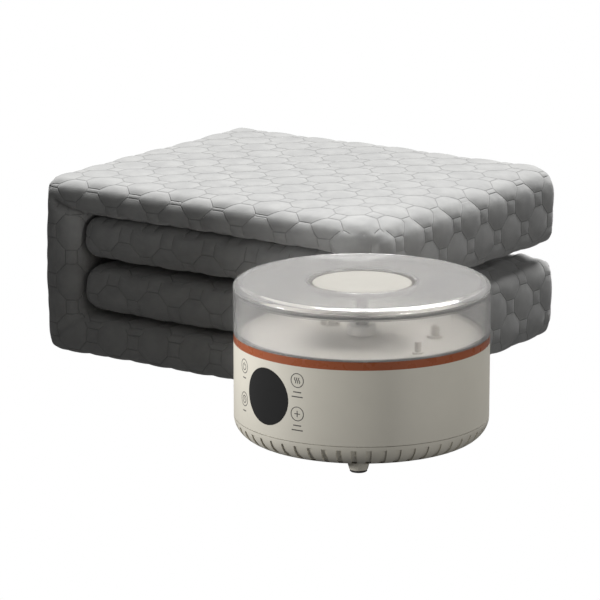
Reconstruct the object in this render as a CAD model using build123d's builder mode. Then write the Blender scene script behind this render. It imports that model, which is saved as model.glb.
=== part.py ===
"""Heated water-circulating mat, folded for storage, with its round heater and pump unit.

Millimetres, +Z up. The origin is on the floor under the centre of the whole object's bounding box.
The mat's folds run along Y. The unit has its own directions: its display looks along UNIT_FRONT.
"""
import os
from math import cos, radians, sin

from build123d import *

# ---- driving dimensions: the folded mat ----
MAT_LEFT = -280.0
MAT_LENGTH = 379.0
MAT_BACK = 279.25
MAT_WIDTH = 335.5
MAT_HEIGHT = 174.7
SPINE = 36.0            # thickness of the wall that joins the two halves
HALF_TOP = 94.6         # top of the lower half
UPPER_BOTTOM = 96.2     # underside of the upper half
LOWER_SLIT = 43.5       # height of the slit between the two lower layers
UPPER_SLIT = 141.7      # height of the slit between the two upper layers
SLIT = 2.0
SLIT_END = 52.0         # distance of the slit's end from the folded right side
EDGE_ROUND = 20.0       # rounding of the folded right side
END_ROUND = 8.0         # rounding of the front and back ends
FOLD_GAP = 0.6          # clearance between two panels at a fold
CLOTH = 2.6             # quilted cover thickness
TUBE_R = 3.0            # water tube inside the mat
TUBE_WALL = 0.8
TUBE_PITCH = 36.0
TUBE_RUNS = 8
TUBE_BEND = 12.0
UPPER_TUBE_Z = 158.0
PORT_POCKET = dict(x0=14.0, x1=82.0, z0=9.0, z1=33.0, depth=24.0)
PORT_TUBE_Z = (PORT_POCKET["z0"] + PORT_POCKET["z1"]) / 2
PORT_BLOCK = 8.0        # depth of the moulded port behind its spigots
SPIGOT_R = 4.0

# ---- driving dimensions: the unit ----
UNIT_X, UNIT_Y = 165.0, -164.25
UNIT_TURN = -13.0       # degrees the unit is turned about Z, from facing -Y
UNIT_R = 115.0
HOUSING_R = 114.6
WALL = 2.5
FOOT_RING_R = 80.0      # the feet, the screw pillars and the base screws stand on this circle
FOOT_TOP_R, FOOT_TIP_R = 11.0, 8.2
FOOT_ANGLES = [45 + 90 * i for i in range(4)]
PAD_H = 2.2
SCREW_HOLE_R = 1.8
PILLAR_R, PILLAR_Z0, PILLAR_Z1 = 4.6, 22.5, 96.7
RIB_LENGTH, RIB_T, RIB_H = 33.0, 2.4, 65.0
BASE_Z = 11.0
BASE_FLAT_R = 92.0
SEAM_Z = 31.0
BAND_Z0, BAND_Z1 = 99.7, 107.1
DECK_Z = 104.0
RIM_Z = 147.4           # top of the clear wall
LID_TOP = 153.6
LID_FLAT_R = 107.0
MOUTH_R = 30.0
DISC_R = 44.8
DISC_TOP = 151.6
DISH_Z = 147.6          # floor of the shallow dish that holds the filler cap
DISPLAY_R = 25.5
DISPLAY_Z = 67.0
FLUTES = 54
FLUTE_W, FLUTE_DEPTH = 5.0, 1.3
FLUTE_Z0, FLUTE_Z1 = 12.4, 27.5
PORT_X = (8.0, 30.0)    # outlet and return sockets, across the rear
PORT_Z = 60.0
PORT_BORE_R = 4.1
INLET_X = -22.0
PLATE_W, PLATE_H, PLATE_T = 79.4, 39.4, 2.4
PLATE_Y = 104.8
SOCKET_R, SOCKET_PROUD, SOCKET_DEPTH = 8.0, 3.4, 14.0
RELEASE_W, RELEASE_H, RELEASE_UP = 10.0, 5.0, 13.5
INLET_W, INLET_H = 21.8, 13.8
SUCTION_AT = (-46.0, 4.0)
RETURN_AT = (52.0, 40.0)
PROBE_AT = (86.0, -14.0)
COLUMN_R, COLUMN_H = 5.7, 33.0
FLOAT_R, FLOAT_BORE_R, FLOAT_H = 13.0, 6.4, 9.0
STRAINER_R, STRAINER_H = 9.0, 7.0
FLOOR_Z = BASE_Z + WALL
PUMP_X, PUMP_Y = -46.0, 14.0
PUMP_R, PUMP_H = 24.0, 18.0
PUMP_Z = FLOOR_Z + 4
IMPELLER_R = 15.0
IMPELLER_Z = PUMP_Z + 4
SHAFT_R = 1.5
WATER_Z = PUMP_Z + 9    # height of the pump outlet and of the heater's water passage
HEATER_X, HEATER_Y = 42.0, 22.0
HEATER_OUT_X = 72.0
CLEAR = 0.3             # clearance between pieces that lift apart
RUN_FIT = 0.05          # radial clearance of the impeller on its shaft
STEM_R, STEM_BORE_R = 3.6, 2.4
HOSE_R, HOSE_BORE_R, HOSE_BEND = 5.6, 3.7, 9.0

# ---- frames ----
UNIT_RIGHT = (cos(radians(UNIT_TURN)), sin(radians(UNIT_TURN)), 0)
UNIT_FRONT = (sin(radians(UNIT_TURN)), -cos(radians(UNIT_TURN)), 0)
UNIT_AXIS = Axis((UNIT_X, UNIT_Y, 0), (0, 0, 1))
UNIT_FLOOR = Plane(origin=(UNIT_X, UNIT_Y, 0), x_dir=UNIT_RIGHT, z_dir=(0, 0, 1))
UNIT_SECTION = Plane(origin=(UNIT_X, UNIT_Y, 0), x_dir=UNIT_RIGHT, z_dir=UNIT_FRONT)
MAT_SECTION = Plane(origin=(0, MAT_BACK, 0), x_dir=(1, 0, 0), z_dir=(0, -1, 0))
MAT_RIGHT = MAT_LEFT + MAT_LENGTH
MAT_FRONT = MAT_BACK - MAT_WIDTH
FOOT_PLACES = [(FOOT_RING_R * cos(radians(a)), FOOT_RING_R * sin(radians(a))) for a in FOOT_ANGLES]
INNER_LEFT = MAT_LEFT + SPINE + FOLD_GAP
PORT_SPIGOT_X = (MAT_RIGHT - 39, MAT_RIGHT - 63)


def level(height):
    """A horizontal sketch plane of the unit at a height above the floor."""
    return UNIT_FLOOR.offset(height)


def facing(distance):
    """An upright sketch plane across the unit, a distance in front of its axis."""
    return UNIT_SECTION.offset(distance)


def write(piece, name):
    """Labels a finished piece and writes it as its own STEP file."""
    piece.part.label = name
    export_step(piece.part, f"parts/{name}.step")


def write_ring(name, inner, outer, bottom, top):
    """A plain turned ring about the unit's axis."""
    with BuildPart() as ring:
        with BuildSketch(level(bottom)):
            Circle(outer)
            Circle(inner, mode=Mode.SUBTRACT)
        extrude(amount=top - bottom)
    write(ring, name)


def section(points):
    """A half section of the unit, from an outline of (radius, height) points."""
    with BuildSketch(UNIT_SECTION) as profile:
        with BuildLine():
            Polyline(*points, close=True)
        make_face()
    return profile.sketch


def hose(route):
    """A hollow hose along straight runs joined by tangent arcs, in the unit's own directions."""
    path = FilletPolyline(*[UNIT_FLOOR.from_local_coords(Vector(p)) for p in route], radius=HOSE_BEND)
    with BuildPart() as tube:
        with BuildSketch(Plane(origin=path @ 0, z_dir=path % 0)):
            Circle(HOSE_R)
            Circle(HOSE_BORE_R, mode=Mode.SUBTRACT)
        sweep(path=path)
    return tube


# ======================= the mat =======================

def half_outline(inset, bottom, top, fold_z):
    """Section of one folded half: two layers joined on the right, mitred where the spine begins.

    fold_z is the height of the outer fold line: the bottom for the lower half, the top for the upper.
    """
    side = 1 if fold_z == bottom else -1
    left = INNER_LEFT + inset
    outer_left = MAT_LEFT + FOLD_GAP + inset * 2.4
    near = fold_z + side * inset
    far = (top if side == 1 else bottom) - side * inset
    mitre = fold_z + side * SPINE
    right = MAT_RIGHT - inset
    with BuildSketch(MAT_SECTION) as outline:
        with BuildLine():
            Polyline(
                (outer_left, near),
                (right, near),
                (right, far),
                (left, far),
                (left, mitre + side * inset),
                close=True,
            )
        make_face()
        right_corners = outline.vertices().group_by(Axis.X)[-1]
        fillet(right_corners, EDGE_ROUND - inset)
    return outline.sketch


def slit_outline(slit_z):
    """The slit between the two layers of one half, open towards the spine."""
    with BuildSketch(MAT_SECTION) as slit:
        with BuildLine():
            Polyline(
                (INNER_LEFT - 5, slit_z - SLIT / 2),
                (MAT_RIGHT - SLIT_END, slit_z - SLIT / 2),
                (MAT_RIGHT - SLIT_END, slit_z + SLIT / 2),
                (INNER_LEFT - 5, slit_z + SLIT / 2),
                close=True,
            )
        make_face()
    return slit.sketch


def cover_and_wadding(name, bottom, top, fold_z, slit_z, tube_z, pocket):
    """One half of the mat: the quilted cover, and the wadding inside it with a slot for the water tube."""
    with BuildPart() as cover:
        extrude(half_outline(0, bottom, top, fold_z), amount=MAT_WIDTH)
        extrude(slit_outline(slit_z), amount=MAT_WIDTH, mode=Mode.SUBTRACT)
        ends = cover.faces().sort_by(Axis.Y)
        outer_edges = (ends[0].edges() + ends[-1].edges()).filter_by(
            lambda e: e.center().X > MAT_RIGHT - EDGE_ROUND - 5 or e.length > MAT_LENGTH - 60
        )
        fillet(outer_edges, END_ROUND)
    with BuildPart() as filling:
        extrude(half_outline(CLOTH, bottom, top, fold_z), amount=MAT_WIDTH)
        split(bisect_by=Plane.XZ.offset(-(MAT_BACK - END_ROUND)), keep=Keep.TOP)
        split(bisect_by=Plane.XZ.offset(-(MAT_FRONT + END_ROUND)), keep=Keep.BOTTOM)
        with BuildSketch(MAT_SECTION):
            with Locations(((INNER_LEFT + MAT_RIGHT - SLIT_END) / 2, slit_z)):
                Rectangle(MAT_RIGHT - SLIT_END - INNER_LEFT + 2 * CLOTH, SLIT + 2 * CLOTH)
        extrude(amount=MAT_WIDTH, mode=Mode.SUBTRACT)
        if pocket:
            pocket_box(CLOTH, Mode.SUBTRACT)
    with BuildPart() as shell:
        add(cover.part)
        if pocket:
            pocket_box(0, Mode.SUBTRACT)
            with Locations(*[(x, MAT_BACK - PORT_POCKET["depth"], tube_z) for x in PORT_SPIGOT_X]):
                Cylinder(TUBE_R + 0.2, 4 * CLOTH, rotation=(90, 0, 0), mode=Mode.SUBTRACT)
        add(filling.part, mode=Mode.SUBTRACT)
    write(shell, f"mat_cover_{name}")
    with BuildPart() as wadding:
        add(filling.part)
        with Locations(((MAT_LEFT + MAT_RIGHT) / 2 + 10, (MAT_BACK + MAT_FRONT) / 2 + 8, tube_z)):
            Box(MAT_LENGTH - 70, MAT_WIDTH - 2 * END_ROUND - 16, 2 * TUBE_R + 1, mode=Mode.SUBTRACT)
    write(wadding, f"mat_wadding_{name}")


def pocket_box(grow, mode):
    """The recess in the mat's back edge where its hose port sits, grown outwards by an allowance."""
    p = PORT_POCKET
    with Locations(((p["x0"] + p["x1"]) / 2, MAT_BACK - p["depth"] / 2, (p["z0"] + p["z1"]) / 2)):
        Box(p["x1"] - p["x0"] + 2 * grow, p["depth"] + 2 * grow, p["z1"] - p["z0"] + 2 * grow, mode=mode)


def water_tube(name, tube_z, start_y):
    """A serpentine water tube that starts and ends at the mat's back edge."""
    first_x, return_x = PORT_SPIGOT_X
    near = MAT_FRONT + 34
    far = MAT_BACK - 62
    route = [(first_x, start_y, tube_z)]
    for run in range(TUBE_RUNS):
        x = first_x - run * TUBE_PITCH
        ends = (near,) if run == 0 else (near, far) if run % 2 else (far, near)
        route += [(x, y, tube_z) for y in ends]
    last_x = first_x - (TUBE_RUNS - 1) * TUBE_PITCH
    route[-1] = (last_x, far + 20, tube_z)
    route += [(return_x, far + 20, tube_z), (return_x, start_y, tube_z)]
    path = FilletPolyline(*route, radius=TUBE_BEND)
    with BuildPart() as tube:
        with BuildSketch(Plane(origin=path @ 0, z_dir=path % 0)):
            Circle(TUBE_R)
            Circle(TUBE_R - TUBE_WALL, mode=Mode.SUBTRACT)
        sweep(path=path)
    write(tube, name)


def mat_spine():
    """The wall between the halves: a cover open at both mitred ends, and its wadding."""
    def mitred(inset):
        left, right = MAT_LEFT + inset, MAT_LEFT + SPINE - inset
        with BuildSketch(MAT_SECTION) as outline:
            with BuildLine():
                Polyline(
                    (left, inset),
                    (right, SPINE - inset),
                    (right, MAT_HEIGHT - SPINE + inset),
                    (left, MAT_HEIGHT - inset),
                    close=True,
                )
            make_face()
        return outline.sketch

    with BuildPart() as filling:
        extrude(mitred(CLOTH), amount=MAT_WIDTH)
        split(bisect_by=Plane.XZ.offset(-(MAT_BACK - CLOTH)), keep=Keep.TOP)
        split(bisect_by=Plane.XZ.offset(-(MAT_FRONT + CLOTH)), keep=Keep.BOTTOM)
    with BuildPart() as cover:
        extrude(mitred(0), amount=MAT_WIDTH)
        add(filling.part, mode=Mode.SUBTRACT)
    write(cover, "mat_cover_spine")
    write(filling, "mat_wadding_spine")


def mat_port():
    """The moulded block sewn into the mat's back edge, with two barbed spigots for the hoses."""
    p = PORT_POCKET
    middle = (p["x0"] + p["x1"]) / 2
    front = MAT_BACK - p["depth"] + CLEAR
    spigot_len = MAT_BACK - 1.0 - front - PORT_BLOCK
    back_of_block = Plane(origin=(0, front + PORT_BLOCK, 0), x_dir=(-1, 0, 0), z_dir=(0, 1, 0))
    spigots = [(-x, PORT_TUBE_Z) for x in PORT_SPIGOT_X]
    with BuildPart() as port:
        with Locations((middle, front + PORT_BLOCK / 2, PORT_TUBE_Z)):
            Box(p["x1"] - p["x0"] - 2 * CLEAR, PORT_BLOCK, p["z1"] - p["z0"] - 2 * CLEAR)
        fillet(port.edges().filter_by(Axis.Y), 5)
        with BuildSketch(back_of_block):
            with Locations(*spigots):
                Circle(SPIGOT_R)
        extrude(amount=spigot_len)
        fillet(port.faces().sort_by(Axis.Y)[-2:].edges(), 0.8)
        with BuildSketch(back_of_block.offset(-PORT_BLOCK)):
            with Locations(*spigots):
                Circle(TUBE_R - TUBE_WALL)
        extrude(amount=PORT_BLOCK + spigot_len, mode=Mode.SUBTRACT)
    write(port, "mat_port")


# ======================= the unit's shells =======================

def tray_body(inset):
    """Half section of the solid tray, its rounded side and floor moved inwards by an inset."""
    with BuildSketch(UNIT_SECTION) as outline:
        with BuildLine():
            Line((0, BASE_Z + inset), (BASE_FLAT_R, BASE_Z + inset))
            EllipticalCenterArc(
                (BASE_FLAT_R, SEAM_Z), HOUSING_R - inset - BASE_FLAT_R, SEAM_Z - BASE_Z - inset,
                start_angle=270, arc_size=90,
            )
            Line((HOUSING_R - inset, SEAM_Z), (0, SEAM_Z))
            Line((0, SEAM_Z), (0, BASE_Z + inset))
        make_face()
    return outline.sketch


def base_tray():
    """The rounded tray: flutes under the seam, four moulded feet, screw pillars inside."""
    with BuildPart(UNIT_FLOOR) as flutes:
        with PolarLocations(HOUSING_R - 12, FLUTES):
            with Locations((0, 0, (FLUTE_Z0 + FLUTE_Z1) / 2)):
                Box(32.0, FLUTE_W, FLUTE_Z1 - FLUTE_Z0)
        revolve(tray_body(FLUTE_DEPTH), axis=UNIT_AXIS, mode=Mode.SUBTRACT)
    with BuildPart() as shell:
        revolve(tray_body(0), axis=UNIT_AXIS)
        revolve(tray_body(WALL), axis=UNIT_AXIS, mode=Mode.SUBTRACT)
        add(flutes.part, mode=Mode.SUBTRACT)
    with BuildPart(UNIT_FLOOR) as supports:
        with PolarLocations(FOOT_RING_R, 4, start_angle=45):
            with Locations((0, 0, (BASE_Z + PAD_H) / 2 + 0.25)):
                Cone(FOOT_TIP_R, FOOT_TOP_R, BASE_Z - PAD_H + 0.5)
            with Locations((0, 0, BASE_Z + WALL + 4)):
                Cylinder(5.0, 9.0)
    with BuildPart(UNIT_FLOOR) as holes:
        with PolarLocations(FOOT_RING_R, 4, start_angle=45):
            with Locations((0, 0, 12)):
                Cylinder(SCREW_HOLE_R, 24)
            with Locations((0, 0, PAD_H + 1.5)):
                Cylinder(3.6, 3.0)
    with BuildPart() as tray:
        add(shell.part)
        add(supports.part)
        add(holes.part, mode=Mode.SUBTRACT)
    write(tray, "base_tray")


def foot_pads():
    """Four rubber pads pressed under the feet, one node each."""
    for index, (x, y) in enumerate(FOOT_PLACES):
        with BuildPart(UNIT_FLOOR) as pad:
            with BuildSketch(level(0)):
                with Locations((x, y)):
                    Circle(FOOT_TIP_R - 0.5)
            extrude(amount=PAD_H)
            chamfer(pad.edges().group_by(Axis.Z)[0], 0.6)
        write(pad, f"foot_pad_{index + 1}")


def screws(name, places, head_z, length, head_r, shank_r):
    """A group of pan-head screws that point up, as separate solids of one node."""
    with BuildPart(UNIT_FLOOR) as group:
        for x, y in places:
            with BuildSketch(level(head_z)):
                with Locations((x, y)):
                    Circle(head_r)
            extrude(amount=2.0)
            with BuildSketch(level(head_z + 2.0)):
                with Locations((x, y)):
                    Circle(shank_r)
            extrude(amount=length)
    write(group, name)


def upper_housing():
    """The cylindrical housing: display seat, rear opening, tank ledge and screw bosses."""
    with BuildPart(UNIT_FLOOR) as housing:
        revolve(section([
            (HOUSING_R, SEAM_Z + 0.5), (HOUSING_R, BAND_Z0), (104.0, BAND_Z0), (104.0, BAND_Z0 - 3),
            (HOUSING_R - WALL, BAND_Z0 - 6), (HOUSING_R - WALL, SEAM_Z + 0.5),
        ]), axis=UNIT_AXIS)
        with PolarLocations(FOOT_RING_R, 4, start_angle=45):
            with Locations((0, 0, (PILLAR_Z0 + PILLAR_Z1) / 2)):
                Cylinder(PILLAR_R, PILLAR_Z1 - PILLAR_Z0)
                Box(5.0, 5.0, PILLAR_Z1 - PILLAR_Z0)
        with PolarLocations(FOOT_RING_R + RIB_LENGTH / 2 - 2, 4, start_angle=45):
            with Locations((0, 0, 64.0)):
                Box(RIB_LENGTH, RIB_T, RIB_H)
        with PolarLocations(FOOT_RING_R, 4, start_angle=45):
            with Locations((0, 0, 35)):
                Cylinder(1.3, 30, mode=Mode.SUBTRACT)
        with BuildSketch(facing(HOUSING_R - 12)):
            with Locations((0, DISPLAY_Z)):
                Circle(DISPLAY_R + 0.2)
        extrude(amount=20, mode=Mode.SUBTRACT)
        with Locations((0, HOUSING_R - 4, PORT_Z)):
            Box(PLATE_W + 0.6, 24, PLATE_H + 0.6, mode=Mode.SUBTRACT)
    write(housing, "upper_housing")


def curved_disc(name, inner, outer, radius, hole):
    """A round plate that follows the housing's curve, centred on the display, with or without a hole."""
    with BuildPart(UNIT_FLOOR) as disc:
        with BuildSketch(level(DISPLAY_Z - radius - 2)):
            Circle(outer)
            Circle(inner, mode=Mode.SUBTRACT)
        extrude(amount=2 * radius + 4)
        with BuildSketch(facing(HOUSING_R - 25)):
            with Locations((0, DISPLAY_Z)):
                Circle(radius)
                if hole:
                    Circle(hole, mode=Mode.SUBTRACT)
        extrude(amount=40, mode=Mode.INTERSECT)
    write(disc, name)


def display_parts():
    """The black lens in the housing's wall, the bezel and board behind it, and the touch-key film."""
    curved_disc("display_lens", HOUSING_R - WALL, HOUSING_R + 0.25, DISPLAY_R, 0)
    curved_disc("display_bezel", HOUSING_R - WALL - 1.5, HOUSING_R - WALL, DISPLAY_R + 0.9, DISPLAY_R - 3)
    with BuildPart(UNIT_FLOOR) as board:
        with BuildSketch(facing(102.0)):
            with Locations((0, DISPLAY_Z)):
                RectangleRounded(56, 52, 3)
        extrude(amount=1.6)
        with BuildSketch(facing(103.6)):
            with Locations((0, DISPLAY_Z)):
                Rectangle(34, 20)
        extrude(amount=5.0)
    write(board, "display_board")
    with BuildPart(UNIT_FLOOR) as film:
        with BuildSketch(level(48)):
            Circle(HOUSING_R - WALL - 0.1)
            Circle(HOUSING_R - WALL - 0.9, mode=Mode.SUBTRACT)
        extrude(amount=44)
        with Locations((0, -HOUSING_R, 70)):
            Box(96, 40, 60, mode=Mode.INTERSECT)
        with BuildSketch(facing(HOUSING_R - 25)):
            with Locations((0, DISPLAY_Z)):
                Circle(DISPLAY_R + 5)
        extrude(amount=40, mode=Mode.SUBTRACT)
    write(film, "touch_key_film")


def tank_parts():
    """The copper band, the moulded deck, the clear wall and the seal between them."""
    write_ring("accent_band", 112.3, HOUSING_R, BAND_Z0, BAND_Z1)
    with BuildPart(UNIT_FLOOR) as deck:
        revolve(section([
            (0, DECK_Z), (106.0, DECK_Z), (108.0, BAND_Z1 - 1.0), (112.1, BAND_Z1 - 1.0), (112.1, BAND_Z0),
            (109.5, BAND_Z0), (109.5, DECK_Z - WALL), (0, DECK_Z - WALL),
        ]), axis=UNIT_AXIS)
        for x, y, radius in ((0, 0, 4.6), (*SUCTION_AT, 4.2), (*RETURN_AT, 4.2), (*PROBE_AT, 3.2)):
            with Locations((x, y, DECK_Z)):
                Cylinder(radius, 20, mode=Mode.SUBTRACT)
    write(deck, "tank_deck")
    write_ring("tank_seal", 109.0, 111.2, BAND_Z1 - 1.0, BAND_Z1 + 1.2)
    with BuildPart() as wall:
        revolve(section([
            (111.4, BAND_Z1), (UNIT_R - 0.2, BAND_Z1), (UNIT_R, BAND_Z1 + 1), (UNIT_R, RIM_Z - 0.6),
            (UNIT_R - 0.6, RIM_Z), (112.0, RIM_Z), (111.8, BAND_Z1 + 4),
        ]), axis=UNIT_AXIS)
    write(wall, "clear_wall")


def tank_fittings():
    """What stands on the deck: guide column, float, strainer, return nozzle and level probe."""
    with BuildPart(UNIT_FLOOR) as column:
        with BuildSketch(level(DECK_Z)):
            Circle(COLUMN_R)
        extrude(amount=COLUMN_H)
        fillet(column.edges().group_by(Axis.Z)[-1], 1.5)
        with BuildSketch(level(DECK_Z - 8)):
            Circle(4.4)
        extrude(amount=8)
        with BuildSketch(level(DECK_Z - 8)):
            Circle(2.6)
        extrude(amount=36, mode=Mode.SUBTRACT)
    write(column, "guide_column")
    with BuildPart(UNIT_FLOOR) as ring_float:
        with BuildSketch(level(DECK_Z + 0.5)):
            Circle(FLOAT_R)
            Circle(FLOAT_BORE_R, mode=Mode.SUBTRACT)
        extrude(amount=FLOAT_H)
        fillet(ring_float.edges().filter_by(lambda e: e.length > 70), 1.4)
    write(ring_float, "level_float")
    with BuildPart(UNIT_FLOOR) as strainer:
        with BuildSketch(level(DECK_Z)):
            with Locations(SUCTION_AT):
                Circle(STRAINER_R)
        extrude(amount=STRAINER_H)
        fillet(strainer.edges().group_by(Axis.Z)[-1], 1.5)
        with Locations((*SUCTION_AT, DECK_Z + 3)):
            with PolarLocations(0, 6, rotate=True):
                Box(2 * STRAINER_R + 2, 1.4, 4, mode=Mode.SUBTRACT)
        with BuildSketch(level(DECK_Z - 10)):
            with Locations(SUCTION_AT):
                Circle(STEM_R)
        extrude(amount=11)
        with BuildSketch(level(DECK_Z - 10)):
            with Locations(SUCTION_AT):
                Circle(STEM_BORE_R)
        extrude(amount=13, mode=Mode.SUBTRACT)
    write(strainer, "suction_strainer")
    with BuildPart(UNIT_FLOOR) as nozzle:
        with BuildSketch(level(DECK_Z)):
            with Locations(RETURN_AT):
                Circle(7.0)
        extrude(amount=2)
        with BuildSketch(level(DECK_Z - 10)):
            with Locations(RETURN_AT):
                Circle(STEM_R)
        extrude(amount=21)
        fillet(nozzle.edges().group_by(Axis.Z)[-1], 0.6)
        with BuildSketch(level(DECK_Z - 10)):
            with Locations(RETURN_AT):
                Circle(STEM_BORE_R)
        extrude(amount=21, mode=Mode.SUBTRACT)
    write(nozzle, "return_nozzle")
    with BuildPart(UNIT_FLOOR) as probe:
        with BuildSketch(level(DECK_Z - 9)):
            with Locations(PROBE_AT):
                Circle(3.0)
        extrude(amount=21)
        with BuildSketch(level(DECK_Z)):
            with Locations(PROBE_AT):
                Circle(5.0)
        extrude(amount=2.5)
        fillet(probe.edges().group_by(Axis.Z)[-1], 1.2)
    write(probe, "level_probe")


def lid_parts():
    """The clear lid with its rounded shoulder and dished centre, the filler cap and both seals."""
    skirt = RIM_Z + CLEAR
    with BuildPart() as lid:
        with BuildSketch(UNIT_SECTION):
            with BuildLine():
                Line((111.6, skirt), (UNIT_R, skirt))
                Line((UNIT_R, skirt), (UNIT_R, skirt + 0.6))
                Spline(
                    (UNIT_R, skirt + 0.6), (UNIT_R - 2.6, LID_TOP - 1.6), (LID_FLAT_R, LID_TOP),
                    tangents=((0, 1), (-1, 0)),
                )
                Line((LID_FLAT_R, LID_TOP), (DISC_R + 4.5, LID_TOP))
                Line((DISC_R + 4.5, LID_TOP), (DISC_R + 1.5, DISH_Z))
                Line((DISC_R + 1.5, DISH_Z), (MOUTH_R, DISH_Z))
                Line((MOUTH_R, DISH_Z), (MOUTH_R, DISH_Z - 6))
                Line((MOUTH_R, DISH_Z - 6), (MOUTH_R + 2, DISH_Z - 6))
                Line((MOUTH_R + 2, DISH_Z - 6), (MOUTH_R + 2, DISH_Z - 2.4))
                Line((MOUTH_R + 2, DISH_Z - 2.4), (DISC_R + 3.2, DISH_Z - 2.4))
                Line((DISC_R + 3.2, DISH_Z - 2.4), (DISC_R + 6.0, LID_TOP - 2.6))
                Line((DISC_R + 6.0, LID_TOP - 2.6), (LID_FLAT_R - 1, LID_TOP - 2.6))
                Line((LID_FLAT_R - 1, LID_TOP - 2.6), (109.4, LID_TOP - 4.6))
                Line((109.4, LID_TOP - 4.6), (109.4, RIM_Z - 5.0))
                Line((109.4, RIM_Z - 5.0), (111.6, RIM_Z - 5.0))
                Line((111.6, RIM_Z - 5.0), (111.6, RIM_Z - 3.6))
                Line((111.6, RIM_Z - 3.6), (110.4, RIM_Z - 3.6))
                Line((110.4, RIM_Z - 3.6), (110.4, RIM_Z - 1.4))
                Line((110.4, RIM_Z - 1.4), (111.6, RIM_Z - 1.4))
                Line((111.6, RIM_Z - 1.4), (111.6, skirt))
            make_face()
        revolve(axis=UNIT_AXIS)
    write(lid, "clear_lid")
    write_ring("lid_seal", 110.5, 111.65, RIM_Z - 3.5, RIM_Z - 1.5)
    with BuildPart() as cap:
        with BuildSketch(UNIT_SECTION):
            with BuildLine():
                Polyline(
                    (0, DISC_TOP), (DISC_R - 0.8, DISC_TOP), (DISC_R, DISC_TOP - 0.8),
                    (DISC_R, DISH_Z + CLEAR), (MOUTH_R - 0.4, DISH_Z + CLEAR),
                    (MOUTH_R - 0.4, DISH_Z - 1.2), (MOUTH_R - 1.6, DISH_Z - 1.2),
                    (MOUTH_R - 1.6, DISH_Z - 3.4), (MOUTH_R - 0.4, DISH_Z - 3.4),
                    (MOUTH_R - 0.4, DISH_Z - 5.2), (MOUTH_R - 3.0, DISH_Z - 5.2), (MOUTH_R - 3.0, DISH_Z),
                    (0, DISH_Z), close=True,
                )
            make_face()
        revolve(axis=UNIT_AXIS)
    write(cap, "filler_cap")
    write_ring("cap_seal", MOUTH_R - 1.5, MOUTH_R - 0.35, DISH_Z - 3.3, DISH_Z - 1.3)


# ======================= inside the unit =======================

def pump_parts():
    """A magnetic-drive pump: housing, impeller on a fixed shaft, cover with the inlet, and stator."""
    outlet = Plane(origin=UNIT_FLOOR.from_local_coords((PUMP_X, PUMP_Y, WATER_Z)),
                   x_dir=UNIT_FRONT, z_dir=UNIT_RIGHT)
    with BuildPart(UNIT_FLOOR) as housing:
        with BuildSketch(level(FLOOR_Z)):
            with Locations((PUMP_X, PUMP_Y)):
                Circle(PUMP_R - 4)
        extrude(amount=4)
        with BuildSketch(level(PUMP_Z)):
            with Locations((PUMP_X, PUMP_Y)):
                Circle(PUMP_R)
        extrude(amount=PUMP_H)
        with BuildSketch(outlet):
            Circle(STEM_R)
        extrude(amount=PUMP_R + 9)
        with BuildSketch(level(PUMP_Z + 3)):
            with Locations((PUMP_X, PUMP_Y)):
                Circle(IMPELLER_R + 2)
        extrude(amount=15, mode=Mode.SUBTRACT)
        with BuildSketch(level(PUMP_Z + 2)):
            with Locations((PUMP_X, PUMP_Y)):
                Circle(SHAFT_R)
        extrude(amount=15)
        with BuildSketch(outlet.offset(IMPELLER_R)):
            Circle(STEM_BORE_R)
        extrude(amount=PUMP_R + 12 - IMPELLER_R, mode=Mode.SUBTRACT)
    write(housing, "pump_housing")
    with BuildPart(UNIT_FLOOR) as impeller:
        with BuildSketch(level(IMPELLER_Z)):
            with Locations((PUMP_X, PUMP_Y)):
                Circle(IMPELLER_R)
        extrude(amount=2.5)
        with BuildSketch(level(IMPELLER_Z + 2.5)):
            with Locations((PUMP_X, PUMP_Y)):
                Circle(4.0)
        extrude(amount=8)
        with BuildSketch(level(IMPELLER_Z + 2.5)):
            with Locations((PUMP_X, PUMP_Y)):
                with PolarLocations(8.6, 6):
                    Rectangle(11.0, 1.6)
        extrude(amount=7)
        with BuildSketch(level(IMPELLER_Z)):
            with Locations((PUMP_X, PUMP_Y)):
                Circle(SHAFT_R + RUN_FIT)
        extrude(amount=12, mode=Mode.SUBTRACT)
    write(impeller, "impeller")
    with BuildPart(UNIT_FLOOR) as cover:
        with BuildSketch(level(PUMP_Z + PUMP_H)):
            with Locations((PUMP_X, PUMP_Y)):
                Circle(PUMP_R)
        extrude(amount=3)
        with BuildSketch(level(PUMP_Z + PUMP_H + 3)):
            with Locations((PUMP_X, PUMP_Y)):
                Circle(STEM_R)
        extrude(amount=9)
        with BuildSketch(level(PUMP_Z + PUMP_H)):
            with Locations((PUMP_X, PUMP_Y)):
                Circle(STEM_BORE_R)
        extrude(amount=12, mode=Mode.SUBTRACT)
    write(cover, "pump_cover")
    with BuildPart(UNIT_FLOOR) as coil:
        with BuildSketch(level(PUMP_Z + 2)):
            with Locations((PUMP_X, PUMP_Y)):
                Circle(PUMP_R + 6)
                Circle(PUMP_R + 0.1, mode=Mode.SUBTRACT)
                with Locations((PUMP_R, 0)):
                    Rectangle(20, 14, mode=Mode.SUBTRACT)
        extrude(amount=12)
    write(coil, "pump_stator")


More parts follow.
